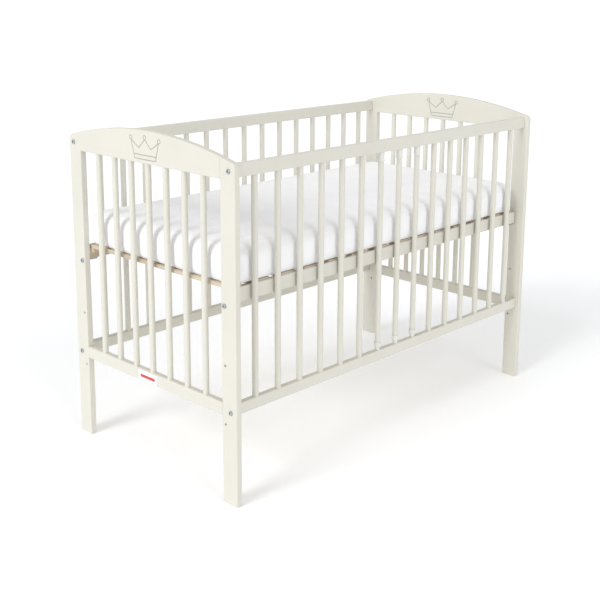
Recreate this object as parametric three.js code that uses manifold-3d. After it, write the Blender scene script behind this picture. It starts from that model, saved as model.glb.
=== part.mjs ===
// Baby crib for a 1200 x 600 mm mattress: two end frames with arched heads, two barred long sides,
// a slatted base that stands on bolts at one of three heights, and a loose mattress.
// Millimetres, +Z up, X along the crib, Y across it. The front side, with three bars that lift out,
// is at -Y and the head end at -X. The origin is on the floor, under the middle of the crib.
import * as THREE from 'three';
import { mergeVertices } from 'three/addons/utils/BufferGeometryUtils.js';
import Module from 'manifold-3d';

const wasm = await Module();
wasm.setup();

// Overall
const LENGTH = 1240;
const WIDTH = 660;
const GAP = 0.3; // left between pieces that touch
const JOIN_DEPTH = 0.3; // how far the parts of one piece run into each other
const MERGE_DISTANCE = 1e-4; // vertices closer than this are one
const ROUND_SIDES = 12;

// End frames
const POST_WIDTH = 50;
const END_THICKNESS = 17;
const ARCH_TOP = 896; // crown of the arch, at the middle of the end
const ARCH_RISE = 44;
const ARCH_CORNER_RADIUS = 12;
const PANEL_ARC_STEPS = 9;
const POST_ARC_STEPS = 3;
const ARCH_PANEL_BOTTOM = 812;
const END_RAIL_BOTTOM = 229;
const END_RAIL_TOP = 262;
const END_BARS = 7;
const END_BAR_PITCH = 70;

// Long sides
const SIDE_SETBACK = 11.5; // from the posts' outer edge to the rails' outer face
const SIDE_THICKNESS = 17;
const TOP_RAIL_BOTTOM = 817.3;
const TOP_RAIL_TOP = 850.5;
const BOTTOM_RAIL_BOTTOM = 235;
const BOTTOM_RAIL_TOP = 264.5;
const SIDE_BARS = 15;
const SIDE_BAR_PITCH = 77;

// Bars: round, with a thinner tenon at each glued end
const BAR_RADIUS = 8;
const TENON_RADIUS = 5;
const TENON_LENGTH = 12.5;
const TENON_HOLE_DEPTH = 13;

// Bars that lift out, with the plastic socket above and the plastic cup below each
const FIRST_LOOSE_BAR = 7;
const LOOSE_BARS = 3;
const LOOSE_BAR_RADIUS = 7.75;
const LOOSE_BAR_BOTTOM = 277.3;
const LOOSE_BAR_TOP = 800;
const SLEEVE_BORE_RADIUS = 8.1; // of socket and cup, round the bar
const SPIGOT_RADIUS = 5.5;
const SPIGOT_LENGTH = 12.5;
const SPIGOT_HOLE_RADIUS = 5.9;
const SOCKET_RADIUS = 9.4;
const SOCKET_BOTTOM = 793.5;
const SOCKET_ROOF = 1.5;
const SPRING_BORE_RADIUS = 4;
const CUP_RADIUS = 9.6;
const CUP_TOP = 287;
const CUP_FLOOR = 277;
const CUP_RING_BOTTOM = 274;
const CUP_NECK_RADIUS = 6.8;

// Bolts
const BOLT_RADIUS = 3;
const BOLT_HOLE_RADIUS = 3.4;
const BOLT_LENGTH = 58;
const BOLT_HOLE_DEPTH = 45; // in the end of a rail
const BOLT_HEAD_RADIUS = 6.2;
const BOLT_HEAD_RIM = 2.2;
const BOLT_HEAD_FLAT = 0.7; // share of the head's radius that is flat on top
const BOLT_HEAD_HEIGHT = 3.8;
const HEX_RADIUS = 2.6;
const HEX_DEPTH = 2.4;
const TOP_BOLT_HEIGHT = 834;
const BOTTOM_BOLT_HEIGHT = 243;

// Slatted base, in the highest of its three places. Its rails stand on four bolts through the posts.
const BASE_STEP = 150;
const BASE_PLACES = 3;
const BASE_BOLT_INSET = 39; // from the posts' outer edge
const BASE_RAIL_THICKNESS = 18;
const BASE_RAIL_BOTTOM = 511.5;
const BASE_RAIL_TOP = 547.5;
const BASE_END_CLEARANCE = 1.5;
const LIP_THICKNESS = 8; // of the rail, outside the step that the slats lie in
const STEP_DEPTH = 6.5;
const BATTEN_WIDTH = 12;
const BATTEN_HEIGHT = 12;
const SLATS = 14;
const SLAT_THICKNESS = 9.5;
const SLAT_GAP = 30;
const END_SLAT_WIDTH = 36;
const DECK_INSET = 3.5; // of the end slats from the rails' ends

// Mattress
const MATTRESS_LENGTH = 1200;
const MATTRESS_WIDTH = 600;
const MATTRESS_THICKNESS = 93.5;
const MATTRESS_CORNER_RADIUS = 40;
const MATTRESS_EDGE_RADIUS = 25;

// Label on the head end's bottom rail
const LABEL_WIDTH = 78;
const LABEL_HEIGHT = 26;
const LABEL_THICKNESS = 0.8;
const LABEL_OFFSET = 13; // towards +Y from the middle

// Worked out from the above
const INNER_X = LENGTH / 2 - END_THICKNESS; // inner face of the end frames
const END_X = LENGTH / 2 - END_THICKNESS / 2; // middle of the end frames' thickness
const POST_INNER_Y = WIDTH / 2 - POST_WIDTH;
const SIDE_Y = WIDTH / 2 - SIDE_SETBACK - SIDE_THICKNESS / 2; // middle of the long sides' thickness
const BASE_RAIL_Y = WIDTH / 2 - BASE_BOLT_INSET;
const BASE_HALF_LENGTH = INNER_X - BASE_END_CLEARANCE;
const DECK_HALF_LENGTH = BASE_HALF_LENGTH - DECK_INSET;
const BASE_BOLT_HEIGHT = BASE_RAIL_BOTTOM - GAP - BOLT_RADIUS;
const DECK_TOP = BASE_RAIL_TOP - STEP_DEPTH + GAP + SLAT_THICKNESS;
const MATTRESS_BOTTOM = DECK_TOP + GAP;
const HALF_CHORD = WIDTH / 2;
const ARCH_RADIUS = (HALF_CHORD ** 2 + ARCH_RISE ** 2) / (2 * ARCH_RISE);
const ARCH_CENTRE_Z = ARCH_TOP - ARCH_RADIUS;

const crib = new THREE.Group();

function finish(colour, roughness, metalness = 0) {
  return new THREE.MeshStandardMaterial({ color: colour, roughness, metalness });
}
const paint = () => finish(0xe9e6da, 0.5);
const pine = () => finish(0xd8c3a0, 0.7);
const steel = () => finish(0xb8c4c8, 0.3, 1);
const clearPlastic = () => finish(0xf1f2ef, 0.35);
const fabric = () => finish(0xf2f2f3, 0.9);
const paper = () => finish(0xf6f5f2, 0.6);

function add(name, geometry, material, x = 0, y = 0, z = 0) {
  const mesh = new THREE.Mesh(geometry, material);
  mesh.name = name;
  mesh.position.set(x, y, z);
  crib.add(mesh);
}

// Booleans

function solid(geometry) {
  const bare = geometry.clone();
  bare.deleteAttribute('normal');
  bare.deleteAttribute('uv');
  const merged = mergeVertices(bare, MERGE_DISTANCE);
  return new wasm.Manifold(new wasm.Mesh({
    numProp: 3,
    vertProperties: new Float32Array(merged.attributes.position.array),
    triVerts: new Uint32Array(merged.index.array),
  }));
}

function geometryOf(manifold) {
  const mesh = manifold.getMesh();
  const geometry = new THREE.BufferGeometry();
  geometry.setAttribute('position', new THREE.BufferAttribute(mesh.vertProperties, 3));
  geometry.setIndex(new THREE.BufferAttribute(mesh.triVerts, 1));
  geometry.computeVertexNormals();
  return geometry;
}

function cut(geometry, tools) {
  let body = solid(geometry);
  for (const tool of tools) body = body.subtract(solid(tool));
  return geometryOf(body);
}

function join(geometries) {
  let body = solid(geometries[0]);
  for (const other of geometries.slice(1)) body = body.add(solid(other));
  return geometryOf(body);
}

// Shapes

function boxBetween(low, high) {
  const box = new THREE.BoxGeometry(high[0] - low[0], high[1] - low[1], high[2] - low[2]);
  return box.translate((low[0] + high[0]) / 2, (low[1] + high[1]) / 2, (low[2] + high[2]) / 2);
}

// A solid of revolution about the vertical through (x, y), from points [radius, height].
function turned(points, x = 0, y = 0) {
  const profile = points.map(([radius, height]) => new THREE.Vector2(radius, height));
  return new THREE.LatheGeometry(profile, ROUND_SIDES).rotateX(Math.PI / 2).translate(x, y, 0);
}

function rod(radius, bottom, top, x, y) {
  return turned([[0, bottom], [radius, bottom], [radius, top], [0, top]], x, y);
}

// The same rod lying along X from x = start to x = end.
function rodAlongX(radius, start, end, y, z) {
  return rod(radius, start, end, 0, 0).rotateY(Math.PI / 2).translate(0, y, z);
}

// A flat outline in Y and Z, given thickness along X and centred on x = 0.
function endBoard(outline, arcSteps) {
  const board = new THREE.ExtrudeGeometry(outline, {
    depth: END_THICKNESS,
    bevelEnabled: false,
    curveSegments: arcSteps,
  });
  const turn = new THREE.Matrix4().makeBasis(
    new THREE.Vector3(0, 1, 0),
    new THREE.Vector3(0, 0, 1),
    new THREE.Vector3(1, 0, 0),
  );
  return board.applyMatrix4(turn).translate(-END_THICKNESS / 2, 0, 0);
}

// Height of the arch at a distance y from the middle.
function archHeight(y) {
  return ARCH_CENTRE_Z + Math.sqrt(ARCH_RADIUS ** 2 - y ** 2);
}

// Angle of the arch's point at y, about the arch's centre.
function archAngle(y) {
  return Math.acos(y / ARCH_RADIUS);
}

// End frames

// A post at +Y, its head cut to the arch and its outer corner rounded.
function postOutline() {
  const outer = WIDTH / 2;
  const cornerY = outer - ARCH_CORNER_RADIUS;
  const reach = ARCH_RADIUS - ARCH_CORNER_RADIUS;
  const cornerZ = ARCH_CENTRE_Z + Math.sqrt(reach ** 2 - cornerY ** 2);
  const cornerAngle = Math.acos(cornerY / reach);
  const outline = new THREE.Shape();
  outline.moveTo(POST_INNER_Y, 0);
  outline.lineTo(outer, 0);
  outline.lineTo(outer, cornerZ);
  outline.absarc(cornerY, cornerZ, ARCH_CORNER_RADIUS, 0, cornerAngle, false);
  outline.absarc(0, ARCH_CENTRE_Z, ARCH_RADIUS, cornerAngle, archAngle(POST_INNER_Y), false);
  outline.lineTo(POST_INNER_Y, 0);
  return outline;
}

function postHoles() {
  const reach = END_THICKNESS;
  const places = [[SIDE_Y, TOP_BOLT_HEIGHT], [SIDE_Y, BOTTOM_BOLT_HEIGHT]];
  for (let place = 0; place < BASE_PLACES; place++) {
    places.push([BASE_RAIL_Y, BASE_BOLT_HEIGHT - place * BASE_STEP]);
  }
  return places.map(([y, z]) => rodAlongX(BOLT_HOLE_RADIUS, -reach, reach, y, z));
}

function archPanel() {
  const edge = POST_INNER_Y - GAP;
  const outline = new THREE.Shape();
  outline.moveTo(-edge, ARCH_PANEL_BOTTOM);
  outline.lineTo(edge, ARCH_PANEL_BOTTOM);
  outline.lineTo(edge, archHeight(edge));
  outline.absarc(0, ARCH_CENTRE_Z, ARCH_RADIUS, archAngle(edge), archAngle(-edge), false);
  outline.lineTo(-edge, ARCH_PANEL_BOTTOM);
  return endBoard(outline, PANEL_ARC_STEPS);
}

function endBarY(index) {
  return (index - (END_BARS - 1) / 2) * END_BAR_PITCH;
}

// Blind holes for the bars' tenons, into a board's face at height z; up is 1 or -1.
function tenonHoles(places, z, up, radius = TENON_RADIUS + GAP) {
  const inside = z + up * TENON_HOLE_DEPTH;
  const outside = z - up * TENON_HOLE_DEPTH;
  const [low, high] = [Math.min(inside, outside), Math.max(inside, outside)];
  return places.map(([x, y]) => rod(radius, low, high, x, y));
}

function fixedBar(bottomFace, topFace) {
  return turned([
    [0, bottomFace - TENON_LENGTH],
    [TENON_RADIUS, bottomFace - TENON_LENGTH],
    [TENON_RADIUS, bottomFace + GAP],
    [BAR_RADIUS, bottomFace + GAP],
    [BAR_RADIUS, topFace - GAP],
    [TENON_RADIUS, topFace - GAP],
    [TENON_RADIUS, topFace + TENON_LENGTH],
    [0, topFace + TENON_LENGTH],
  ]);
}

// The same shape on the other side of the XZ plane.
function mirrored(geometry) {
  const other = geometry.clone().scale(1, -1, 1);
  const index = other.index.array;
  for (let i = 0; i < index.length; i += 3) [index[i], index[i + 1]] = [index[i + 1], index[i]];
  return other;
}

function addEndFrame(name, x) {
  const post = cut(endBoard(postOutline(), POST_ARC_STEPS), postHoles());
  add(`${name}_post_back`, post, paint(), x);
  add(`${name}_post_front`, mirrored(post), paint(), x);
  const places = Array.from({ length: END_BARS }, (_, i) => [0, endBarY(i)]);
  add(`${name}_arch_panel`, cut(archPanel(), tenonHoles(places, ARCH_PANEL_BOTTOM, 1)), paint(), x);
  const edge = POST_INNER_Y - GAP;
  const half = END_THICKNESS / 2;
  const rail = boxBetween([-half, -edge, END_RAIL_BOTTOM], [half, edge, END_RAIL_TOP]);
  add(`${name}_bottom_rail`, cut(rail, tenonHoles(places, END_RAIL_TOP, -1)), paint(), x);
  for (let i = 0; i < END_BARS; i++) {
    const bar = fixedBar(END_RAIL_TOP, ARCH_PANEL_BOTTOM);
    add(`${name}_bar_${i + 1}`, bar, paint(), x, endBarY(i));
  }
}

// Long sides

function sideBarX(number) {
  return (number - (SIDE_BARS + 1) / 2) * SIDE_BAR_PITCH;
}

const sideBarNumbers = Array.from({ length: SIDE_BARS }, (_, i) => i + 1);

function isLoose(number) {
  return number >= FIRST_LOOSE_BAR && number < FIRST_LOOSE_BAR + LOOSE_BARS;
}

// A long rail centred on y = 0, with a bolt's hole in each end.
function sideRail(bottom, top, boltHeight, holes) {
  const end = INNER_X - GAP;
  const half = SIDE_THICKNESS / 2;
  const [holeEnd, mouth] = [end - BOLT_HOLE_DEPTH, end + GAP];
  return cut(boxBetween([-end, -half, bottom], [end, half, top]), [
    rodAlongX(BOLT_HOLE_RADIUS, -mouth, -holeEnd, 0, boltHeight),
    rodAlongX(BOLT_HOLE_RADIUS, holeEnd, mouth, 0, boltHeight),
    ...holes,
  ]);
}

function sidePlaces(numbers) {
  return numbers.map((number) => [sideBarX(number), 0]);
}

function addFrontSide() {
  const fixed = sideBarNumbers.filter((number) => !isLoose(number));
  const loose = sideBarNumbers.filter(isLoose);
  const holesAt = (z, up) => [
    ...tenonHoles(sidePlaces(fixed), z, up),
    ...tenonHoles(sidePlaces(loose), z, up, SPIGOT_HOLE_RADIUS),
  ];
  const topRail = sideRail(TOP_RAIL_BOTTOM, TOP_RAIL_TOP, TOP_BOLT_HEIGHT, holesAt(TOP_RAIL_BOTTOM, 1));
  const bottomRail = sideRail(
    BOTTOM_RAIL_BOTTOM, BOTTOM_RAIL_TOP, BOTTOM_BOLT_HEIGHT, holesAt(BOTTOM_RAIL_TOP, -1));
  add('front_top_rail', topRail, paint(), 0, -SIDE_Y);
  add('front_bottom_rail', bottomRail, paint(), 0, -SIDE_Y);
  for (const number of fixed) {
    const bar = fixedBar(BOTTOM_RAIL_TOP, TOP_RAIL_BOTTOM);
    add(`front_bar_${number}`, bar, paint(), sideBarX(number), -SIDE_Y);
  }
  loose.forEach((number, i) => {
    const x = sideBarX(number);
    const bar = rod(LOOSE_BAR_RADIUS, LOOSE_BAR_BOTTOM, LOOSE_BAR_TOP, 0, 0);
    add(`removable_bar_${i + 1}`, bar, paint(), x, -SIDE_Y);
    add(`bar_socket_${i + 1}`, barSocket(), clearPlastic(), x, -SIDE_Y);
    add(`bar_cup_${i + 1}`, barCup(), clearPlastic(), x, -SIDE_Y);
  });
}

// The sleeve that a loose bar pushes up into, its spigot in the top rail round a spring.
function barSocket() {
  const shoulder = TOP_RAIL_BOTTOM - GAP;
  const roof = shoulder - SOCKET_ROOF;
  const spigotTop = TOP_RAIL_BOTTOM + SPIGOT_LENGTH;
  return turned([
    [SOCKET_RADIUS, SOCKET_BOTTOM],
    [SOCKET_RADIUS, shoulder],
    [SPIGOT_RADIUS, shoulder],
    [SPIGOT_RADIUS, spigotTop],
    [SPRING_BORE_RADIUS, spigotTop],
    [SPRING_BORE_RADIUS, roof],
    [SLEEVE_BORE_RADIUS, roof],
    [SLEEVE_BORE_RADIUS, SOCKET_BOTTOM],
    [SOCKET_RADIUS, SOCKET_BOTTOM],
  ]);
}

// The cup that a loose bar stands in, its spigot in the bottom rail.
function barCup() {
  const neckBottom = BOTTOM_RAIL_TOP + GAP;
  const spigotBottom = BOTTOM_RAIL_TOP - SPIGOT_LENGTH;
  return turned([
    [0, spigotBottom],
    [SPIGOT_RADIUS, spigotBottom],
    [SPIGOT_RADIUS, neckBottom],
    [CUP_NECK_RADIUS, neckBottom],
    [CUP_NECK_RADIUS, CUP_RING_BOTTOM],
    [CUP_RADIUS, CUP_RING_BOTTOM],
    [CUP_RADIUS, CUP_TOP],
    [SLEEVE_BORE_RADIUS, CUP_TOP],
    [SLEEVE_BORE_RADIUS, CUP_FLOOR],
    [0, CUP_FLOOR],
  ]);
}

// The back side has no loose bars: its bars are glued to the bottom rail and make one piece with it.
function addBackSide() {
  const places = sidePlaces(sideBarNumbers);
  const topHoles = tenonHoles(places, TOP_RAIL_BOTTOM, 1);
  const topRail = sideRail(TOP_RAIL_BOTTOM, TOP_RAIL_TOP, TOP_BOLT_HEIGHT, topHoles);
  add('back_top_rail', topRail, paint(), 0, SIDE_Y);
  const bars = places.map(([x, y]) => {
    const bar = fixedBar(BOTTOM_RAIL_TOP - GAP - JOIN_DEPTH, TOP_RAIL_BOTTOM);
    return bar.translate(x, y, 0);
  });
  const rail = sideRail(BOTTOM_RAIL_BOTTOM, BOTTOM_RAIL_TOP, BOTTOM_BOLT_HEIGHT, []);
  add('back_bars_and_bottom_rail', join([rail, ...bars]), paint(), 0, SIDE_Y);
}

// Bolts through the posts into the ends of the long rails

function bolt() {
  const face = -LENGTH / 2 - GAP;
  const body = turned([
    [0, face - BOLT_HEAD_HEIGHT],
    [BOLT_HEAD_RADIUS * BOLT_HEAD_FLAT, face - BOLT_HEAD_HEIGHT],
    [BOLT_HEAD_RADIUS, face - BOLT_HEAD_RIM],
    [BOLT_HEAD_RADIUS, face],
    [BOLT_RADIUS, face],
    [BOLT_RADIUS, face + BOLT_LENGTH],
    [0, face + BOLT_LENGTH],
  ]);
  const hex = new THREE.CylinderGeometry(HEX_RADIUS, HEX_RADIUS, 2 * HEX_DEPTH, 6);
  hex.rotateX(Math.PI / 2).translate(0, 0, face - BOLT_HEAD_HEIGHT);
  return cut(body, [hex]).rotateY(Math.PI / 2);
}

function addBolts() {
  const sides = [['front', -SIDE_Y], ['back', SIDE_Y]];
  const heights = [['top', TOP_BOLT_HEIGHT], ['bottom', BOTTOM_BOLT_HEIGHT]];
  for (const [side, y] of sides) {
    for (const [level, z] of heights) {
      add(`head_${side}_${level}_bolt`, bolt(), steel(), 0, y, z);
      add(`foot_${side}_${level}_bolt`, bolt().rotateZ(Math.PI), steel(), 0, y, z);
    }
  }
}

// Slatted base

// The rail at +Y. Its inner upper edge is cut to a step for the slats' ends.
function baseRail() {
  const end = BASE_HALF_LENGTH;
  const half = BASE_RAIL_THICKNESS / 2;
  const rail = boxBetween([-end, -half, BASE_RAIL_BOTTOM], [end, half, BASE_RAIL_TOP]);
  const step = boxBetween(
    [-end - GAP, -half - GAP, BASE_RAIL_TOP - STEP_DEPTH],
    [end + GAP, half - LIP_THICKNESS, BASE_RAIL_TOP + GAP]);
  return cut(rail, [step]);
}

// Slats across the two rails, joined by a batten along the inside of each rail, under the slats.
function slatDeck() {
  const halfWidth = BASE_RAIL_Y + BASE_RAIL_THICKNESS / 2 - LIP_THICKNESS - GAP;
  const inner = 2 * DECK_HALF_LENGTH - 2 * END_SLAT_WIDTH - (SLATS - 1) * SLAT_GAP;
  const slatWidth = inner / (SLATS - 2);
  const pieces = [];
  let x = -DECK_HALF_LENGTH;
  for (let i = 0; i < SLATS; i++) {
    const width = i === 0 || i === SLATS - 1 ? END_SLAT_WIDTH : slatWidth;
    pieces.push(boxBetween(
      [x, -halfWidth, DECK_TOP - SLAT_THICKNESS], [x + width, halfWidth, DECK_TOP]));
    x += width + SLAT_GAP;
  }
  const outer = BASE_RAIL_Y - BASE_RAIL_THICKNESS / 2 - GAP;
  const top = DECK_TOP - SLAT_THICKNESS + JOIN_DEPTH;
  for (const side of [-1, 1]) {
    const [a, b] = [side * outer, side * (outer - BATTEN_WIDTH)];
    pieces.push(boxBetween(
      [-DECK_HALF_LENGTH + GAP, Math.min(a, b), top - BATTEN_HEIGHT],
      [DECK_HALF_LENGTH - GAP, Math.max(a, b), top]));
  }
  return join(pieces);
}

function addBase() {
  add('base_front_rail', mirrored(baseRail()), paint(), 0, -BASE_RAIL_Y);
  add('base_back_rail', baseRail(), paint(), 0, BASE_RAIL_Y);
  add('base_slat_deck', slatDeck(), pine());
}

// Mattress

function mattress() {
  const x = MATTRESS_LENGTH / 2 - MATTRESS_EDGE_RADIUS;
  const y = MATTRESS_WIDTH / 2 - MATTRESS_EDGE_RADIUS;
  const corner = MATTRESS_CORNER_RADIUS - MATTRESS_EDGE_RADIUS;
  const outline = new THREE.Shape();
  outline.absarc(x - corner, y - corner, corner, 0, Math.PI / 2, false);
  outline.absarc(corner - x, y - corner, corner, Math.PI / 2, Math.PI, false);
  outline.absarc(corner - x, corner - y, corner, Math.PI, 1.5 * Math.PI, false);
  outline.absarc(x - corner, corner - y, corner, 1.5 * Math.PI, 2 * Math.PI, false);
  outline.closePath();
  const block = new THREE.ExtrudeGeometry(outline, {
    depth: MATTRESS_THICKNESS - 2 * MATTRESS_EDGE_RADIUS,
    bevelSize: MATTRESS_EDGE_RADIUS,
    bevelThickness: MATTRESS_EDGE_RADIUS,
    bevelSegments: 3,
    curveSegments: 2,
  });
  return block.translate(0, 0, MATTRESS_EDGE_RADIUS);
}

// Blank label on the outside of the head end's bottom rail

function addLabel() {
  const label = new THREE.BoxGeometry(LABEL_THICKNESS, LABEL_WIDTH, LABEL_HEIGHT);
  const x = -LENGTH / 2 - GAP - LABEL_THICKNESS / 2;
  add('blank_label', label, paper(), x, LABEL_OFFSET, (END_RAIL_BOTTOM + END_RAIL_TOP) / 2);
}

addEndFrame('head', -END_X);
addEndFrame('foot', END_X);
addFrontSide();
addBackSide();
addBolts();
addBase();
add('mattress', mattress(), fabric(), 0, 0, MATTRESS_BOTTOM);
addLabel();

export default crib;
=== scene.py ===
import math
import random

import bmesh
import bpy
from mathutils import Matrix, Quaternion, Vector
from mathutils.bvhtree import BVHTree


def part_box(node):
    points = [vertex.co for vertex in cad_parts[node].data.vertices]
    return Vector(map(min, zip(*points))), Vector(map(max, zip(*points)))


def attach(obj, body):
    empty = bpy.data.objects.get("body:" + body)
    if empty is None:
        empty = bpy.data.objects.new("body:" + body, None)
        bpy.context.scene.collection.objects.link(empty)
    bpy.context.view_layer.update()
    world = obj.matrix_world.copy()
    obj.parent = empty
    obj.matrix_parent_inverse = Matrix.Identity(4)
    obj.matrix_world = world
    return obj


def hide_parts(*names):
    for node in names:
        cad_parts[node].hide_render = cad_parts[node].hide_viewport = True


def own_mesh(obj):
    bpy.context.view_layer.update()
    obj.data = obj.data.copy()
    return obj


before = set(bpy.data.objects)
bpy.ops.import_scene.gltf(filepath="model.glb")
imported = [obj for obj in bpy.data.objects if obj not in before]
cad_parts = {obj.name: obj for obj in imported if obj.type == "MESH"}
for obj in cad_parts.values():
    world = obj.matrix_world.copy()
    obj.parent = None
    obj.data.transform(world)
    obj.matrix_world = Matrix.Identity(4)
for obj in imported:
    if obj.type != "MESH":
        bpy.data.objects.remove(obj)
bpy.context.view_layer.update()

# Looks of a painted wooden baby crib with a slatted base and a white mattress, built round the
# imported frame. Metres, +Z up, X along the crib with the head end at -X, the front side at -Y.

MM = 0.001

# Camera, past the head end and in front, looking down a little
CAMERA_PLACE = (-2.197, -2.076, 1.265)
CAMERA_TURN = math.radians(43.57)  # from +X towards +Y
CAMERA_TILT = math.radians(-12.30)
CAMERA_ROLL = math.radians(0.41)
CAMERA_LENS = 62.94
CAMERA_SHIFT = (-0.0208, -0.1538)
CAMERA_SENSOR = 36

# Light and floor
SOFTBOXES = (  # name, side (x, y), degrees above the horizon, width in degrees, strength
    ("light_left", (-1, 0), 33, 26, 1.46),
    ("light_front", (-0.16, -1), 32, 24, 0.60),
)
SKY_TOP = 0.61  # brightness overhead, against 1 at the horizon
SKY_FADE = (0.05, 0.55)  # from the horizon's brightness to the top's, as sines of the angle above it
FLOOR_HALF = 60.0
FLOOR_COLOUR = (0.915, 0.925, 0.938)
FLOOR_GLOW = 0.15

# Wood
EDGE_ROUND = 2.2 * MM
JOINT_ROUND = 0.7 * MM  # where a post meets the boards glued to it
BAR_EDGE_ROUND = 0.6 * MM
BASE_EDGE_ROUND = 1.6 * MM
SLAT_EDGE_ROUND = 1.2 * MM
BAR_TENON_RADIUS = 5 * MM
BAR_TENON_LENGTH = 12 * MM
SIDE_BARS = 15
SIDE_BAR_PITCH = 77 * MM
SLATS = 14
SLAT_GAP = 30 * MM
SLAT_THICKNESS = 9.5 * MM
END_SLAT_WIDTH = 36 * MM
LIP_THICKNESS = 8 * MM  # of the base's rails, outside the step that the slats lie in
STEP_DEPTH = 6.5 * MM
BATTEN_WIDTH = 12 * MM
GAP = 0.3 * MM
BASE_STEP = 150 * MM  # between the base's places
BASE_PLACES = 3
POST_CORNER = 12 * MM

# Bolts
BOLT_RADIUS = 3 * MM
BOLT_HOLE_RADIUS = 3.4 * MM
BOLT_LENGTH = 57 * MM
BASE_BOLT_LENGTH = 48 * MM
BOLT_CROWN = 3.6 * MM  # the head's height

# Sockets and cups of the removable bars
PLASTIC_BORE = 8.15 * MM
PLASTIC_SPIGOT = 5.4 * MM
PLASTIC_STEPS = 40

# Engraved crown
GROOVE_WIDTH = 2.3 * MM
GROOVE_DEPTH = 1.1 * MM
GROOVE_CORNER = 3 * MM

# Mattress
MATTRESS_CORNER = 36 * MM
MATTRESS_TOP_EDGE = 27 * MM
MATTRESS_LOW_EDGE = 9 * MM
MATTRESS_SWELL = 5.0 * MM  # the furthest that a point may move in the simulation
MATTRESS_VOXEL = 8 * MM
MATTRESS_CLEARANCE = 0.7 * MM  # left to the bars on all sides
MATTRESS_BULGE = 5.5 * MM  # further out between two bars
BULGE_LOW = (10 * MM, 24 * MM)  # above the slats, where the bulge starts and where it is whole
BULGE_TOP = 26 * MM  # below the top, where the bulge starts to fade
BULGE_SIDE = (12 * MM, 2 * MM)  # in from the edge, where the bulge starts and where it is whole
BAR_TOUCH = 4 * MM  # either side of a bar's middle, where the cover lies on it
BAR_FADE = 5 * MM
CUP_REACH = 42 * MM  # above the slats, as high as the foot cups come when the base is low
MATTRESS_WALL = 12 * MM  # this close to the edge, its mesh is finer
MATTRESS_SAG = 8 * MM  # of its lower edge at the ends, past the last slat
SAG_HEIGHT = 30 * MM
SEAM_RADIUS = 0.9 * MM
SEAM_RISE = 9 * MM
SEAM_STEP = 6 * MM
CLOTH_FRAMES = 20
CLOTH_QUALITY = 4
CLOTH_MASS = 0.3
CLOTH_STRETCH = 25
CLOTH_BEND = 2
CLOTH_PRESSURE = 4

ENDS = ("head", "foot")
SIDES = ("front", "back")
END_BAR_NUMBERS = range(1, 8)
FRONT_BAR_NUMBERS = (1, 2, 3, 4, 5, 6, 10, 11, 12, 13, 14, 15)
LOOSE_BARS = (1, 2, 3)


# ---- camera, light and floor

def make_camera():
    data = bpy.data.cameras.new("camera")
    data.sensor_width = CAMERA_SENSOR
    data.lens = CAMERA_LENS
    data.shift_x, data.shift_y = CAMERA_SHIFT
    camera = bpy.data.objects.new("camera", data)
    forward = Vector((
        math.cos(CAMERA_TILT) * math.cos(CAMERA_TURN),
        math.cos(CAMERA_TILT) * math.sin(CAMERA_TURN),
        math.sin(CAMERA_TILT),
    ))
    camera.location = CAMERA_PLACE
    camera.rotation_mode = "QUATERNION"
    level = forward.to_track_quat("-Z", "Y")
    camera.rotation_quaternion = level @ Quaternion((0, 0, 1), CAMERA_ROLL)
    bpy.context.scene.collection.objects.link(camera)
    bpy.context.scene.camera = camera


def far_softbox(name, side, height, spread, power):
    """A soft light from far away, on the side (x, y) and height degrees above the horizon."""
    data = bpy.data.lights.new(name, "SUN")
    data.angle = math.radians(spread)
    data.energy = power
    light = bpy.data.objects.new(name, data)
    level = Vector((*side, 0)).normalized()
    rise = math.radians(height)
    towards = level * math.cos(rise) + Vector((0, 0, math.sin(rise)))
    light.rotation_mode = "QUATERNION"
    light.rotation_quaternion = (-towards).to_track_quat("-Z", "Y")
    bpy.context.scene.collection.objects.link(light)


def make_studio():
    for name, side, height, spread, power in SOFTBOXES:
        far_softbox(name, side, height, spread, power)
    world = bpy.data.worlds.new("studio")
    world.use_nodes = True
    tree = world.node_tree
    sky = tree.nodes["Background"]
    sky.inputs["Color"].default_value = (1, 1, 1, 1)
    direction = tree.nodes.new("ShaderNodeTexCoord")
    up = tree.nodes.new("ShaderNodeSeparateXYZ")
    fade = tree.nodes.new("ShaderNodeMapRange")
    fade.inputs["From Min"].default_value = SKY_FADE[0]
    fade.inputs["From Max"].default_value = SKY_FADE[1]
    fade.inputs["To Min"].default_value = 1.0
    fade.inputs["To Max"].default_value = SKY_TOP
    tree.links.new(direction.outputs["Generated"], up.inputs["Vector"])
    tree.links.new(up.outputs["Z"], fade.inputs["Value"])
    tree.links.new(fade.outputs["Result"], sky.inputs["Strength"])
    bpy.context.scene.world = world
    bpy.context.scene.view_settings.view_transform = "Standard"


def make_floor():
    half = FLOOR_HALF
    corners = [(-half, -half, 0), (half, -half, 0), (half, half, 0), (-half, half, 0)]
    mesh = bpy.data.meshes.new("floor")
    mesh.from_pydata(corners, [], [(0, 1, 2, 3)])
    floor = bpy.data.objects.new("floor", mesh)
    bpy.context.scene.collection.objects.link(floor)
    material, graph = new_material("floor_white", FLOOR_COLOUR, 0.8, Emission_Color=(1, 1, 1, 1),
                                   Emission_Strength=FLOOR_GLOW)
    graph.finish()
    mesh.materials.append(material)


# ---- materials

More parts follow.
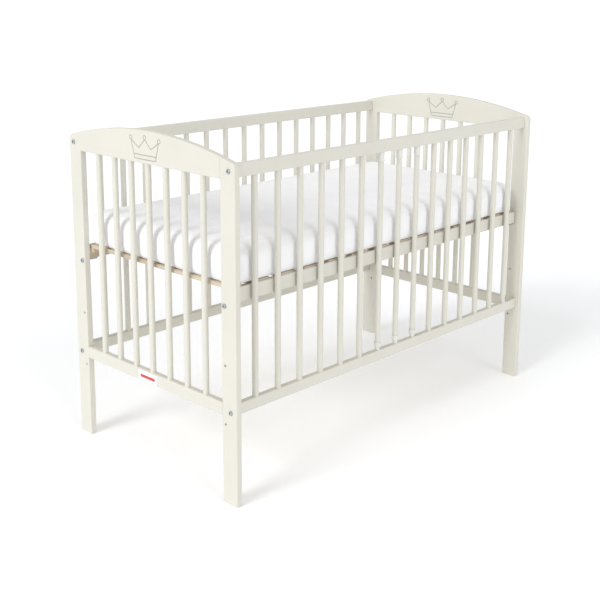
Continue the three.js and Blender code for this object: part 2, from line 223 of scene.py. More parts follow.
class Graph:
    """A short way to write a material's node tree."""

    def __init__(self, material):
        self.tree = material.node_tree
        self.shader = self.tree.nodes["Principled BSDF"]
        self.height = None

    def node(self, kind, **inputs):
        made = self.tree.nodes.new(kind)
        for name, value in inputs.items():
            self.put(made.inputs[name.replace("_", " ")], value)
        return made

    def put(self, socket, value):
        if isinstance(value, bpy.types.NodeSocket):
            self.tree.links.new(value, socket)
        else:
            socket.default_value = value

    def place(self, scale=(1, 1, 1), shift=None):
        """The piece's own coordinates, stretched by scale."""
        coordinates = self.node("ShaderNodeTexCoord").outputs["Object"]
        mapping = self.node("ShaderNodeMapping", Vector=coordinates, Scale=scale)
        if shift is not None:
            self.put(mapping.inputs["Location"], shift)
        return mapping.outputs["Vector"]

    def noise(self, vector, scale, detail=2.0, roughness=0.5, distortion=0.0):
        made = self.node("ShaderNodeTexNoise", Vector=vector, Scale=scale, Detail=detail,
                         Roughness=roughness, Distortion=distortion)
        return made.outputs["Fac"]

    def math(self, operation, a, b):
        made = self.node("ShaderNodeMath")
        made.operation = operation
        self.put(made.inputs[0], a)
        self.put(made.inputs[1], b)
        return made.outputs[0]

    def band(self, value, low, high, out_low=0.0, out_high=1.0):
        made = self.node("ShaderNodeMapRange", Value=value, From_Min=low, From_Max=high,
                         To_Min=out_low, To_Max=out_high)
        return made.outputs["Result"]

    def mix(self, factor, first, second):
        made = self.node("ShaderNodeMix")
        made.data_type = "RGBA"
        self.put(made.inputs["Factor"], factor)
        self.put(made.inputs[6], colour4(first))
        self.put(made.inputs[7], colour4(second))
        return made.outputs[2]

    def bump(self, height, depth, strength):
        made = self.node("ShaderNodeBump", Height=height, Distance=depth, Strength=strength)
        if self.height is not None:
            self.put(made.inputs["Normal"], self.height)
        self.height = made.outputs["Normal"]

    def finish(self, colour=None, roughness=None):
        if colour is not None:
            self.put(self.shader.inputs["Base Color"], colour)
        if roughness is not None:
            self.put(self.shader.inputs["Roughness"], roughness)
        if self.height is not None:
            self.put(self.shader.inputs["Normal"], self.height)


def colour4(value):
    if isinstance(value, bpy.types.NodeSocket) or len(value) == 4:
        return value
    return (*value, 1.0)


def new_material(name, colour, roughness, **fixed):
    """A material and its graph. What is in fixed is the same all over the surface."""
    material = bpy.data.materials.new(name)
    material.use_nodes = True
    graph = Graph(material)
    graph.shader.inputs["Base Color"].default_value = colour4(colour)
    graph.shader.inputs["Roughness"].default_value = roughness
    for socket, value in fixed.items():
        graph.shader.inputs[socket.replace("_", " ")].default_value = value
    return material, graph


def along(axis, lengthways, across):
    """Texture scale for a grain that runs along axis, 0 to 2."""
    return tuple(lengthways if i == axis else across for i in range(3))


def painted_wood(axis):
    """Satin ivory paint, with the wood's grain just telling through it."""
    material, graph = new_material(f"ivory_paint_{'xyz'[axis]}", (0.70, 0.68, 0.60), 0.42)
    grain = graph.noise(graph.place(along(axis, 1.5, 60)), 3.0, 5, 0.6, 0.3)
    pores = graph.noise(graph.place(along(axis, 12, 420)), 2.0, 2, 0.5)
    film = graph.noise(graph.place(), 420, 2, 0.5)
    cloud = graph.noise(graph.place(), 5.5, 3, 0.55)
    tone = graph.mix(graph.band(cloud, 0.3, 0.7), (0.655, 0.638, 0.566), (0.680, 0.664, 0.592))
    streak = graph.band(grain, 0.42, 0.75, 0.0, 0.05)
    colour = graph.mix(streak, tone, (0.60, 0.585, 0.51))
    graph.bump(grain, 0.05 * MM, 0.08)
    graph.bump(pores, 0.04 * MM, 0.15)
    graph.bump(film, 0.03 * MM, 0.25)
    gloss = graph.band(film, 0.3, 0.7, 0.37, 0.48)
    graph.finish(colour, gloss)
    return material


def groove_painted_shade():
    """Painted shade for the bottom of the engraved line: a darker, speckled grey-beige standing for
    the shade in the hollow.
    """
    material, graph = new_material("groove_painted_shade", (0.50, 0.48, 0.43), 0.6)
    speck = graph.noise(graph.place(), 260, 3, 0.6)
    graph.finish(graph.mix(graph.band(speck, 0.3, 0.7), (0.36, 0.35, 0.325), (0.46, 0.45, 0.415)))
    return material


def raw_pine(axis):
    """Planed pine: pale early wood with browner late-wood lines, fibres and a few small knots."""
    material, graph = new_material(f"raw_pine_{'xyz'[axis]}", (0.70, 0.55, 0.37), 0.62)
    seed = graph.node("ShaderNodeAttribute")
    seed.attribute_name = "board_seed"
    offset = graph.node("ShaderNodeCombineXYZ", X=seed.outputs["Fac"], Y=seed.outputs["Fac"],
                        Z=seed.outputs["Fac"]).outputs["Vector"]
    place = graph.place(along(axis, 0.55, 9.0), offset)
    warp = graph.noise(place, 1.6, 3, 0.5)
    across = graph.node("ShaderNodeSeparateXYZ", Vector=place).outputs[(axis + 1) % 3]
    phase = graph.math("ADD", graph.math("MULTIPLY", across, 3.2), graph.math("MULTIPLY", warp, 5.0))
    rings = graph.math("PINGPONG", phase, 0.5)
    late = graph.math("POWER", graph.math("MULTIPLY", rings, 2.0), 3.2)
    fibre = graph.noise(graph.place(along(axis, 14, 900), offset), 1.0, 3, 0.6)
    blotch = graph.noise(graph.place((1, 1, 1), offset), 7.0, 2, 0.5)
    pale = graph.mix(graph.band(blotch, 0.3, 0.7), (0.665, 0.578, 0.457), (0.59, 0.503, 0.39))
    lined = graph.mix(graph.math("MULTIPLY", late, 0.5), pale, (0.47, 0.36, 0.25))
    fibred = graph.mix(graph.band(fibre, 0.55, 0.8, 0.0, 0.22), lined, (0.42, 0.32, 0.21))
    spots = graph.node("ShaderNodeTexVoronoi", Vector=graph.place(along(axis, 3.2, 6.5), offset),
                       Scale=1.0)
    knot = graph.band(spots.outputs["Distance"], 0.045, 0.075, 0.85, 0.0)
    colour = graph.mix(knot, fibred, (0.24, 0.12, 0.055))
    graph.bump(fibre, 0.08 * MM, 0.5)
    graph.bump(late, 0.06 * MM, 0.4)
    graph.finish(colour, graph.band(fibre, 0.3, 0.8, 0.55, 0.72))
    return material


def mattress_knit():
    """White double-jersey cover: small rounded loops in rows, with a soft fuzz, and painted shade
    towards the edges of each loop.
    """
    material, graph = new_material("mattress_knit", (0.87, 0.87, 0.875), 0.92, Sheen_Weight=0.18,
                                   Sheen_Roughness=0.6)
    loops = graph.node("ShaderNodeTexVoronoi", Vector=graph.place((1.0, 1.45, 1.45)), Scale=480.0)
    loop = graph.band(loops.outputs["Distance"], 0.0, 0.75, 1.0, 0.0)
    fuzz = graph.noise(graph.place(), 1700, 2, 0.6)
    shade = graph.noise(graph.place(), 16, 4, 0.6)
    pale = graph.mix(graph.band(shade, 0.3, 0.7), (0.885, 0.885, 0.90), (0.915, 0.915, 0.925))
    # painted shade: the colour darkens towards the edge of each loop, for the hollows between loops
    colour = graph.mix(graph.band(loop, 0.0, 0.6, 0.15, 0.0), pale, (0.77, 0.77, 0.78))
    graph.bump(shade, 0.9 * MM, 0.35)
    graph.bump(loop, 0.22 * MM, 0.5)
    graph.bump(fuzz, 0.06 * MM, 0.4)
    graph.finish(colour)
    return material


def seam_thread():
    """The cover's piping: the same knit, turned and sewn tight."""
    material, graph = new_material("seam_cloth", (0.84, 0.84, 0.845), 0.9, Sheen_Weight=0.15)
    rib = graph.noise(graph.place(), 900, 3, 0.6)
    graph.bump(rib, 0.15 * MM, 0.6)
    graph.finish(graph.mix(graph.band(rib, 0.3, 0.7), (0.80, 0.80, 0.81), (0.87, 0.87, 0.875)))
    return material


def zinc_steel():
    """Bright zinc plate with fine turning marks and a faint blue cast."""
    material, graph = new_material("zinc_steel", (0.43, 0.47, 0.47), 0.34, Metallic=1.0)
    stain = graph.noise(graph.place(), 300, 3, 0.6)
    scratch = graph.noise(graph.place((40, 900, 900)), 2.0, 2, 0.5)
    graph.bump(scratch, 0.02 * MM, 0.35)
    colour = graph.mix(graph.band(stain, 0.3, 0.7), (0.36, 0.40, 0.40), (0.50, 0.54, 0.54))
    graph.finish(colour, graph.band(stain, 0.3, 0.7, 0.28, 0.42))
    return material


def milky_plastic():
    """Milky, slightly translucent polypropylene."""
    material, graph = new_material("milky_plastic", (0.78, 0.79, 0.74), 0.3,
                                   Transmission_Weight=0.12, IOR=1.49)
    mould = graph.noise(graph.place(), 700, 2, 0.5)
    cloud = graph.noise(graph.place(), 120, 2, 0.5)
    graph.bump(mould, 0.03 * MM, 0.4)
    colour = graph.mix(graph.band(cloud, 0.3, 0.7), (0.76, 0.77, 0.715), (0.82, 0.83, 0.78))
    graph.finish(colour, graph.band(mould, 0.3, 0.7, 0.24, 0.36))
    return material


def label_film():
    """White satin film of the label."""
    material, graph = new_material("label_film", (0.90, 0.895, 0.88), 0.35)
    grain = graph.noise(graph.place(), 800, 2, 0.5)
    graph.bump(grain, 0.02 * MM, 0.4)
    graph.finish(graph.mix(graph.band(grain, 0.3, 0.7), (0.88, 0.875, 0.86), (0.92, 0.915, 0.90)))
    return material


def label_band():
    """Red print of the label's plain band."""
    material, graph = new_material("label_band", (0.62, 0.045, 0.05), 0.4)
    screen = graph.noise(graph.place(), 1500, 2, 0.5)
    graph.finish(graph.mix(graph.band(screen, 0.35, 0.65), (0.56, 0.035, 0.045), (0.68, 0.06, 0.06)))
    return material


# ---- mesh tools

def add_object(name, mesh, *materials):
    piece = bpy.data.objects.new(name, mesh)
    bpy.context.scene.collection.objects.link(piece)
    for material in materials:
        mesh.materials.append(material)
    return piece


def mesh_of(name, shape):
    mesh = bpy.data.meshes.new(name)
    shape.to_mesh(mesh)
    shape.free()
    return mesh


def apply_modifiers(piece):
    """Bakes the piece's modifiers into its mesh."""
    bpy.context.view_layer.update()
    graph = bpy.context.evaluated_depsgraph_get()
    mesh = bpy.data.meshes.new_from_object(piece.evaluated_get(graph), depsgraph=graph)
    piece.modifiers.clear()
    old = piece.data
    piece.data = mesh
    bpy.data.meshes.remove(old)


def smooth(piece, angle=35):
    """Smooth shading that stays flat on flat faces and sharp at real edges."""
    mesh = piece.data
    mesh.polygons.foreach_set("use_smooth", [True] * len(mesh.polygons))
    mesh.set_sharp_from_angle(angle=math.radians(angle))
    weighted = piece.modifiers.new("weighted", "WEIGHTED_NORMAL")
    weighted.keep_sharp = True
    apply_modifiers(piece)


def belongs(piece, body, slot, *nodes):
    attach(piece, body)
    if nodes:
        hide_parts(*nodes)
    return piece


def in_plane(edge, axis, value):
    return all(abs(vertex.co[axis] - value) < 0.01 * MM for vertex in edge.verts)


def middle(node):
    low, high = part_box(node)
    return (low + high) / 2


def half_width(node):
    low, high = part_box(node)
    return (high.y - low.y) / 2


def round_edges(shape, radius, segments=3, square=None):
    """Rounds the sharp edges, apart from those that lie in the planes square: (axis, value), ..."""
    def stays(edge):
        return any(in_plane(edge, axis, value) for axis, value in square or ())

    sharp = [e for e in shape.edges
             if e.is_manifold and e.calc_face_angle() > math.radians(25) and not stays(e)]
    bmesh.ops.bevel(shape, geom=sharp, offset=radius, segments=segments, profile=0.5,
                    affect="EDGES", clamp_overlap=True)


def block(low, high, radius, segments=3, square_ends=None):
    """A box between two corners, its edges rounded. Those round its ends along the axis square_ends,
    where it is glued to its neighbours, stay square."""
    shape = bmesh.new()
    low, high = Vector(low), Vector(high)
    bmesh.ops.create_cube(shape, size=1)
    bmesh.ops.scale(shape, vec=high - low, verts=shape.verts)
    bmesh.ops.translate(shape, vec=(low + high) / 2, verts=shape.verts)
    square = [(square_ends, corner[square_ends]) for corner in (low, high) if square_ends is not None]
    round_edges(shape, radius, segments, square)
    return shape


def board(outline, x_low, x_high, radius, square=None):
    """An outline of (y, z) points given thickness along X, its edges rounded except in the planes
    square."""
    shape = bmesh.new()
    ring = [shape.verts.new((x_low, y, z)) for y, z in outline]
    face = shape.faces.new(ring)
    made = bmesh.ops.extrude_face_region(shape, geom=[face])
    moved = [v for v in made["geom"] if isinstance(v, bmesh.types.BMVert)]
    bmesh.ops.translate(shape, vec=(x_high - x_low, 0, 0), verts=moved)
    bmesh.ops.recalc_face_normals(shape, faces=shape.faces)
    round_edges(shape, radius, square=square)
    return shape


def turned(profile, place=(0, 0, 0), steps=32, hollow=False):
    """A solid of revolution about the vertical through place. Its (radius, height) points start and
    end on the axis, or go round the section of a ring if it is hollow."""
    shape = bmesh.new()
    rings = [ring_of_points(shape, radius, height, steps) for radius, height in profile]
    if hollow:
        rings.append(rings[0])
    for lower, upper in zip(rings, rings[1:]):
        join_rings(shape, lower, upper, steps)
    bmesh.ops.recalc_face_normals(shape, faces=shape.faces)
    bmesh.ops.translate(shape, vec=place, verts=shape.verts)
    return shape


def ring_of_points(shape, radius, height, steps):
    if radius == 0:
        return [shape.verts.new((0, 0, height))]
    angles = [2 * math.pi * i / steps for i in range(steps)]
    return [shape.verts.new((radius * math.cos(a), radius * math.sin(a), height)) for a in angles]


def join_rings(shape, lower, upper, steps):
    """Faces between two rings of points, either of which may be a single point on the axis."""
    for i in range(steps):
        j = (i + 1) % steps
        corners = [lower[i % len(lower)], lower[j % len(lower)]]
        corners += [upper[j % len(upper)], upper[i % len(upper)]]
        corners = list(dict.fromkeys(corners))
        if len(corners) > 2:
            shape.faces.new(corners)


def rounded(points, radius, segments=3):
    """The profile with all its corners rounded, apart from its two ends."""
    made = [points[0]]
    for before, corner, after in zip(points, points[1:], points[2:]):
        before, corner, after = Vector(before), Vector(corner), Vector(after)
        reach = min(radius, (before - corner).length * 0.45, (after - corner).length * 0.45)
        made += corner_curve(before, corner, after, reach, segments)
    made.append(points[-1])
    return made


def corner_curve(before, corner, after, reach, segments):
    """Points of a smooth curve that cuts the corner, starting and ending reach away from it."""
    start = corner + (before - corner).normalized() * reach
    end = corner + (after - corner).normalized() * reach
    made = []
    for i in range(segments + 1):
        t = i / segments
        made.append(tuple(start * (1 - t) ** 2 + corner * 2 * t * (1 - t) + end * t ** 2))
    return made


def swept_tube(points, radius, closed, sides=8):
    """A round tube along points, its ends capped unless it is closed."""
    shape = bmesh.new()
    count = len(points)
    rings = []
    side = None
    for i, point in enumerate(points):
        before = points[i - 1] if closed or i > 0 else point
        after = points[(i + 1) % count] if closed or i < count - 1 else point
        forward = (after - before).normalized()
        if side is None:
            side = forward.orthogonal().normalized()
        side = (side - forward * side.dot(forward)).normalized()
        other = forward.cross(side)
        ring = []
        for k in range(sides):
            a = 2 * math.pi * k / sides
            ring.append(shape.verts.new(point + (side * math.cos(a) + other * math.sin(a)) * radius))
        rings.append(ring)
    for lower, upper in zip(rings, rings[1:]):
        bridge(shape, lower, upper, 0)
    if closed:
        first, last = rings[0], rings[-1]
        shift = min(range(sides), key=lambda s: (last[0].co - first[s].co).length)
        bridge(shape, last, first, shift)
    else:
        shape.faces.new(rings[0])
        shape.faces.new(list(reversed(rings[-1])))
    bmesh.ops.recalc_face_normals(shape, faces=shape.faces)
    return shape


def bridge(shape, lower, upper, shift):
    """Faces between two rings, where lower's first point meets upper's point number shift."""
    sides = len(lower)
    for k in range(sides):
        m = (k + 1) % sides
        shape.faces.new([lower[k], lower[m], upper[(m + shift) % sides], upper[(k + shift) % sides]])


def laid_along_x(shape):
    """The shape turned so that what points up points along X."""
    bmesh.ops.rotate(shape, matrix=Matrix.Rotation(math.pi / 2, 3, "Y"), verts=shape.verts)
    return shape


def cylinder_along_x(radius, x_low, x_high, y, z):
    profile = [(0, x_low), (radius, x_low), (radius, x_high), (0, x_high)]
    shape = laid_along_x(turned(profile, steps=28))
    bmesh.ops.translate(shape, vec=(0, y, z), verts=shape.verts)
    return shape


def merged(shapes):
    """Several closed shapes in one."""
    whole = bmesh.new()
    for shape in shapes:
        part = mesh_of("part", shape)
        whole.from_mesh(part)
        bpy.data.meshes.remove(part)
    return whole


def subtract(piece, tool_shape, *tool_materials):
    """Cuts a shape out of the piece. The cut faces take the tool's first material, if it has one."""
    tool = add_object("tool", mesh_of("tool", tool_shape), *tool_materials)
    cut = piece.modifiers.new("cut", "BOOLEAN")
    cut.operation = "DIFFERENCE"
    cut.solver = "EXACT"
    cut.object = tool
    cut.use_self = True
    cut.material_mode = "TRANSFER" if tool_materials else "INDEX"
    apply_modifiers(piece)
    data = tool.data
    bpy.data.objects.remove(tool)
    bpy.data.meshes.remove(data)


# ---- end frames

def arch():
    """The arch's radius, the height of its centre, and how far out the posts come."""
    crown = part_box("head_arch_panel")[1].z
    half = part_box("head_post_back")[1].y
    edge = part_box("head_arch_panel")[1].y
    # the panel's outline passes through the crown and through its own upper corner
    corner = max(v.co.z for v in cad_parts["head_arch_panel"].data.vertices
                 if v.co.y > edge - 0.5 * MM)
    drop = crown - corner
    radius = (edge ** 2 + drop ** 2) / (2 * drop)
    return radius, crown - radius, half


def arc_points(centre, radius, start, end, count):
    angles = [start + (end - start) * i / count for i in range(count + 1)]
    return [(centre[0] + radius * math.cos(a), centre[1] + radius * math.sin(a)) for a in angles]


def post_outline():
    """A back post's outline of (y, z) points, its top cut to the arch and its outer corner round."""
    radius, centre_z, outer = arch()
    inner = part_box("head_post_back")[0].y
    corner_y = outer - POST_CORNER
    reach = radius - POST_CORNER
    corner_z = centre_z + math.sqrt(reach ** 2 - corner_y ** 2)
    turn = math.acos(corner_y / reach)
    outline = [(inner, 0), (outer, 0)]
    outline += arc_points((corner_y, corner_z), POST_CORNER, 0, turn, 12)
    outline += arc_points((0, centre_z), radius, turn, math.acos(inner / radius), 8)[1:]
    return outline


def make_post(end, side):
    node = f"{end}_post_{side}"
    low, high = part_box(node)
    sign = 1 if side == "back" else -1
    outline = [(sign * y, z) for y, z in post_outline()]
    if sign < 0:
        outline.reverse()
    inner = outline[0][0] if sign > 0 else outline[-1][0]
    shape = board(outline, low.x, high.x, EDGE_ROUND, square=[(1, inner)])
    upright = [e for e in shape.edges if e.calc_length() > high.z / 2 and in_plane(e, 1, inner)]
    bmesh.ops.bevel(shape, geom=upright, offset=JOINT_ROUND, segments=2, profile=0.5, affect="EDGES")
    piece = add_object(f"{end}_{side}_post", mesh_of(node, shape), PAINT_Z)
    holes = []
    for level in ("top", "bottom"):
        centre = middle(f"{end}_{side}_{level}_bolt")
        holes.append((centre.y, centre.z))
    for place in range(BASE_PLACES):
        holes.append((sign * base_bolt_y(), base_bolt_height() - place * BASE_STEP))
    reach = 5 * MM
    tools = [cylinder_along_x(BOLT_HOLE_RADIUS, low.x - reach, high.x + reach, y, z)
             for y, z in holes]
    subtract(piece, merged(tools))
    smooth(piece)
    return belongs(piece, "frame", "painted_wood", node)


def base_bolt_y():
    return middle("base_back_rail").y


def base_bolt_height():
    """The base stands on its bolts, so their middles are half a bolt under its rails."""
    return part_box("base_front_rail")[0].z - GAP - BOLT_RADIUS


def make_arch_panel(end):
    node = f"{end}_arch_panel"
    low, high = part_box(node)
    radius, centre_z, _ = arch()
    start, finish_angle = math.acos(high.y / radius), math.acos(low.y / radius)
    outline = [(low.y, low.z), (high.y, low.z)]
    outline += arc_points((0, centre_z), radius, start, finish_angle, 48)
    shape = board(outline, low.x, high.x, EDGE_ROUND, square=[(1, low.y), (1, high.y)])
    piece = add_object(f"{end}_arched_panel", mesh_of(node, shape), PAINT_Y)
    # the cut faces of the line take the darker groove colour, painted shade for the hollow
    subtract(piece, crown_groove(low.x, low.z, high.z), GROOVE_SHADE)
    smooth(piece)
    return belongs(piece, "frame", "painted_wood", node)


def crown_groove(x_face, z_low, z_high):
    """Cutter for a plain line crown: three ringed points over a straight band."""
    height = z_high - z_low
    foot = z_low + 0.13 * height
    band = foot + 0.13 * height
    valley = z_low + 0.46 * height
    tip = z_low + 0.68 * height
    middle_tip = tip + 0.05 * height
    ring = 0.06 * height
    half_foot, half_tip, half_valley = 42 * MM, 55 * MM, 24 * MM

    def across(z):
        return half_foot + (half_tip - half_foot) * (z - foot) / (tip - foot)

    outline = [(-half_foot, foot), (half_foot, foot), (half_tip, tip), (half_valley, valley),
               (0, middle_tip), (-half_valley, valley), (-half_tip, tip)]
    lines = [(softened_loop(outline), True), ([(-across(band), band), (across(band), band)], False)]
    for y, z in ((-half_tip, tip), (0, middle_tip), (half_tip, tip)):
        centre = (y * 1.03, z + ring)
        lines.append((arc_points(centre, ring, 0, 2 * math.pi, 20)[:-1], True))
    shapes = []
    for points, closed in lines:
        route = [Vector((x_face, y, z)) for y, z in points]
        tube = swept_tube(route, GROOVE_WIDTH / 2, closed, sides=10)
        flatten = Matrix.Translation((x_face, 0, 0)) @ Matrix.Diagonal(
            (GROOVE_DEPTH / (GROOVE_WIDTH / 2), 1, 1, 1)) @ Matrix.Translation((-x_face, 0, 0))
        bmesh.ops.transform(tube, matrix=flatten, verts=tube.verts)
        shapes.append(tube)
    return merged(shapes)


def softened_loop(points):
    """The closed line with its corners rounded, so that a round cutter can follow it."""
    made = []
    count = len(points)
    for i in range(count):
        before, corner, after = (Vector(points[k % count]) for k in (i - 1, i, i + 1))
        made += corner_curve(before, corner, after, GROOVE_CORNER, 5)
    return made


def make_rail(node, name, material, axis):
    low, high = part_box(node)
    piece = add_object(name, mesh_of(node, block(low, high, EDGE_ROUND, square_ends=axis)), material)
    smooth(piece)
    return belongs(piece, "frame", "painted_wood", node)


def bar_profile(low, high, radius, tenons):
    """Profile of a round bar, its tenons inside the rails and its shoulders eased."""
    points = [(radius, low), (radius, high)]
    if tenons:
        lower, upper = low + BAR_TENON_LENGTH, high - BAR_TENON_LENGTH
        points = [(BAR_TENON_RADIUS, low), (BAR_TENON_RADIUS, lower), (radius, lower),
                  (radius, upper), (BAR_TENON_RADIUS, upper), (BAR_TENON_RADIUS, high)]
    return rounded([(0, low), *points, (0, high)], BAR_EDGE_ROUND)


def make_bar(name, x, y, low, high, radius, body, *nodes, tenons=True):
    shape = turned(bar_profile(low, high, radius, tenons), (x, y, 0))
    piece = add_object(name, mesh_of(name, shape), PAINT_Z)
    smooth(piece)
    return belongs(piece, body, "painted_wood", *nodes)


def make_node_bar(node, name, body="frame", tenons=True):
    low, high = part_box(node)
    centre = middle(node)
    return make_bar(name, centre.x, centre.y, low.z, high.z, half_width(node), body, node,
                    tenons=tenons)


def make_end_frames():
    for end in ENDS:
        for side in SIDES:
            make_post(end, side)
        make_arch_panel(end)
        make_rail(f"{end}_bottom_rail", f"{end}_lower_rail", PAINT_Y, 1)
        for number in END_BAR_NUMBERS:
            make_node_bar(f"{end}_bar_{number}", f"{end}_round_bar_{number}")


# ---- long sides

def make_front_side():
    make_rail("front_top_rail", "front_upper_rail", PAINT_X, 0)
    make_rail("front_bottom_rail", "front_lower_rail", PAINT_X, 0)
    for number in FRONT_BAR_NUMBERS:
        make_node_bar(f"front_bar_{number}", f"front_round_bar_{number}")
    for number in LOOSE_BARS:
        body = f"removable_bar_{number}"
        make_node_bar(f"removable_bar_{number}", f"lift_out_bar_{number}", body, tenons=False)
        make_socket(number)
        make_cup(number)
        make_spring(number)


def make_socket(number):
    node = f"bar_socket_{number}"
    low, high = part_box(node)
    centre = middle(node)
    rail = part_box("front_top_rail")[0].z
    rim, spring_bore = half_width(node), 4 * MM
    wall = rim - 0.5 * MM
    roof = rail - 1.8 * MM
    section = [
        (rim, low.z), (rim, low.z + 3 * MM), (wall, low.z + 4 * MM), (wall, rail),
        (PLASTIC_SPIGOT, rail), (PLASTIC_SPIGOT, high.z), (spring_bore, high.z),
        (spring_bore, roof), (PLASTIC_BORE, roof), (PLASTIC_BORE, low.z),
    ]
    shape = turned(section, (centre.x, centre.y, 0), PLASTIC_STEPS, hollow=True)
    piece = add_object(f"spring_socket_{number}", mesh_of(node, shape), MILKY)
    soft_edges = piece.modifiers.new("soft", "BEVEL")
    soft_edges.width = 0.25 * MM
    soft_edges.segments = 2
    soft_edges.limit_method = "ANGLE"
    smooth(piece)
    return belongs(piece, "frame", "clear_plastic", node)


def make_cup(number):
    node = f"bar_cup_{number}"
    low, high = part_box(node)
    centre = middle(node)
    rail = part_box("front_bottom_rail")[1].z
    ring, neck = half_width(node), 6.8 * MM
    ring_bottom, floor = high.z - 13 * MM, high.z - 10 * MM
    profile = [
        (0, low.z), (PLASTIC_SPIGOT, low.z), (PLASTIC_SPIGOT, rail), (neck, rail + 0.2 * MM),
        (neck, ring_bottom - 1.5 * MM), (ring - 0.6 * MM, ring_bottom),
        (ring, ring_bottom + 1.5 * MM), (ring, high.z), (PLASTIC_BORE, high.z),
        (PLASTIC_BORE, floor), (0, floor),
    ]
    shape = turned(rounded(profile, 0.35 * MM), (centre.x, centre.y, 0), PLASTIC_STEPS)
    piece = add_object(f"foot_cup_{number}", mesh_of(node, shape), MILKY)
    smooth(piece)
    return belongs(piece, "frame", "clear_plastic", node)


def make_spring(number):
    """The spring over a lift-out bar."""
    bar_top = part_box(f"removable_bar_{number}")[1].z
    centre = middle(f"bar_socket_{number}")
    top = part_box(f"bar_socket_{number}")[1].z
    wire, coil, turns, steps = 0.45 * MM, 3.2 * MM, 7, 16
    low = bar_top + wire + 0.1 * MM
    high = top - wire
    points = []
    for i in range(turns * steps + 1):
        a = 2 * math.pi * i / steps
        z = low + (high - low) * (i / (turns * steps))
        points.append(Vector((centre.x + coil * math.cos(a), centre.y + coil * math.sin(a), z)))
    shape = swept_tube(points, wire, False, 6)
    piece = add_object(f"socket_spring_{number}", mesh_of("spring", shape), ZINC)
    smooth(piece)
    belongs(piece, "frame", "zinc_steel")
    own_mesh(piece)
    return piece


def make_back_side():
    """The back's rails and bars. In CAD the bars are one with the lower rail."""
    make_rail("back_top_rail", "back_upper_rail", PAINT_X, 0)
    node = "back_bars_and_bottom_rail"
    low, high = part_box(node)
    rail_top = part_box("front_bottom_rail")[1].z
    shape = block(low, (high.x, high.y, rail_top), EDGE_ROUND, square_ends=0)
    rail = add_object("back_lower_rail", mesh_of("back_lower_rail", shape), PAINT_X)
    smooth(rail)
    belongs(rail, "frame", "painted_wood", node)
    y = middle(node).y
    radius = half_width("front_bar_1")
    bottom = rail_top + GAP - BAR_TENON_LENGTH
    for number in range(1, SIDE_BARS + 1):
        x = (number - (SIDE_BARS + 1) / 2) * SIDE_BAR_PITCH
        make_bar(f"back_round_bar_{number}", x, y, bottom, high.z, radius, "frame", node)


# ---- bolts

def bolt_shape(length):
    """A bolt lying along X, its head's underside at x = 0 and its shank towards +X."""
    head, rim, shank, chamfer = 6.1 * MM, 1.9 * MM, 2.9 * MM, 0.4 * MM
    dome = [(head * math.sin(a), -rim - (BOLT_CROWN - rim) * math.cos(a)) for a in
            (math.radians(angle) for angle in (18, 36, 54, 72, 90))]
    profile = [
        (0, -BOLT_CROWN), *dome, (head, -chamfer), (head - chamfer, 0), (shank, 0),
        (shank, length - 1 * MM), (shank - 0.8 * MM, length), (0, length),
    ]
    return laid_along_x(turned(profile, steps=36))


def hexagon_shape():
    """Cutter for the head's hexagon hole, 5 mm across its flats, with a drilled point."""
    key, depth, point = 2.9 * MM, 2.3 * MM, 0.7 * MM
    outside, floor = -BOLT_CROWN - 1 * MM, depth - BOLT_CROWN
    profile = [(0, outside), (key, outside), (key, floor), (0, floor + point)]
    return laid_along_x(turned(profile, steps=6))


def make_bolt(name, end, y, z, turn, body, *nodes, length=BOLT_LENGTH):
    """A bolt through a post, its head outside and its hexagon turned by turn."""
    sign = -1 if end == "head" else 1
    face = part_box(f"{end}_post_back")[0 if sign < 0 else 1].x
    piece = add_object(name, mesh_of(name, bolt_shape(length)), ZINC)
    subtract(piece, hexagon_shape())
    facing = Matrix.Rotation(math.pi if sign > 0 else 0, 4, "Z")
    place = Matrix.Translation((face + sign * 0.25 * MM, y, z))
    piece.data.transform(place @ facing @ Matrix.Rotation(turn, 4, "X"))
    smooth(piece, 30)
    return belongs(piece, body, "zinc_steel", *nodes)


def make_bolts():
    turns = random.Random(5)
    for end in ENDS:
        for side in SIDES:
            for level in ("top", "bottom"):
                node = f"{end}_{side}_{level}_bolt"
                centre = middle(node)
                turn = turns.uniform(0, math.pi / 3)
                make_bolt(f"{end}_{side}_{level}_screw", end, centre.y, centre.z, turn, "frame", node)
            sign = 1 if side == "back" else -1
            turn = turns.uniform(0, math.pi / 3)
            make_bolt(f"{end}_{side}_base_screw", end, sign * base_bolt_y(), base_bolt_height(),
                      turn, "bed_base", length=BASE_BOLT_LENGTH)


# ---- slatted base

def make_base_rail(side):
    """Painted outside and on top, raw pine on its ends and on the side towards the slats."""
    node = f"base_{side}_rail"
    low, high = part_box(node)
    inward = 1 if side == "front" else -1
    outer, inner = (low.y, high.y) if inward > 0 else (high.y, low.y)
    lip, step = outer + inward * LIP_THICKNESS, high.z - STEP_DEPTH
    outline = [(outer, low.z), (inner, low.z), (inner, step), (lip, step), (lip, high.z),
               (outer, high.z)]
    seed = 17.0 + inward
    shape = seeded(board(outline, low.x, high.x, BASE_EDGE_ROUND), seed)
    piece = add_object(f"base_{side}_board", mesh_of(node, shape), PAINT_X, PINE_X)
    for face in piece.data.polygons:
        if (face.center.y - lip) * inward > 0.2 * MM or abs(face.normal.x) > 0.9:
            face.material_index = 1
    smooth(piece)
    return belongs(piece, "bed_base", "painted_wood", node)


def slat_boxes():
    """The slats' boxes, from the deck's box: a narrow slat at each end and wider ones between."""
    low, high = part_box("base_slat_deck")
    inner = (high.x - low.x) - 2 * END_SLAT_WIDTH - (SLATS - 1) * SLAT_GAP
    width = inner / (SLATS - 2)
    x = low.x
    for number in range(SLATS):
        own = END_SLAT_WIDTH if number in (0, SLATS - 1) else width
        yield (x, low.y, high.z - SLAT_THICKNESS), (x + own, high.y, high.z)
        x += own + SLAT_GAP


def seeded(shape, value):
    """Marks every face of a board, so that its grain differs from the next board's."""
    layer = shape.faces.layers.float.new("board_seed")
    for face in shape.faces:
        face[layer] = value
    return shape


